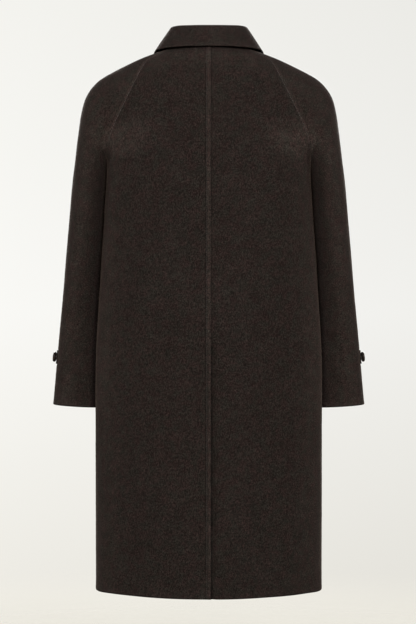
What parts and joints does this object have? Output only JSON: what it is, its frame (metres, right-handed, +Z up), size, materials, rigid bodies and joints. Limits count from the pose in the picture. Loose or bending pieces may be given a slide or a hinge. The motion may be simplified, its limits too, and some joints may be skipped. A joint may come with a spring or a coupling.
{
  "type": "wool coat",
  "caption": "Knee-length single-breasted wool coat with raglan sleeves, turned-down collar, cuff tabs and a back vent, hollow and filled out as worn.",
  "frame": {"origin": "middle of the neck base between the shoulders, where a wearer's shoulders hold the coat up", "axes": "+Z up to the collar, +Y out of the fastened front, -Y out of the back, +X to the wearer's right"},
  "size_m": [0.628, 0.2873, 1.12],
  "materials": {
    "wool": "dark brown melange wool with a short brushed nap",
    "button": "near-black horn-like resin, satin"
  },
  "bodies": {
    "root": {"back_left": "wool", "back_right": "wool", "front_left": "wool", "front_right": "wool", "sleeve_left_back": "wool", "sleeve_left_front": "wool", "sleeve_right_back": "wool", "sleeve_right_front": "wool", "collar_stand": "wool", "collar_fall": "wool", "cuff_tab_left": "wool", "cuff_tab_right": "wool", "cuff_button_left": "button", "cuff_button_right": "button", "front_button_1": "button", "front_button_2": "button", "front_button_3": "button", "front_button_4": "button", "front_button_5": "button"}
  },
  "joints": []
}
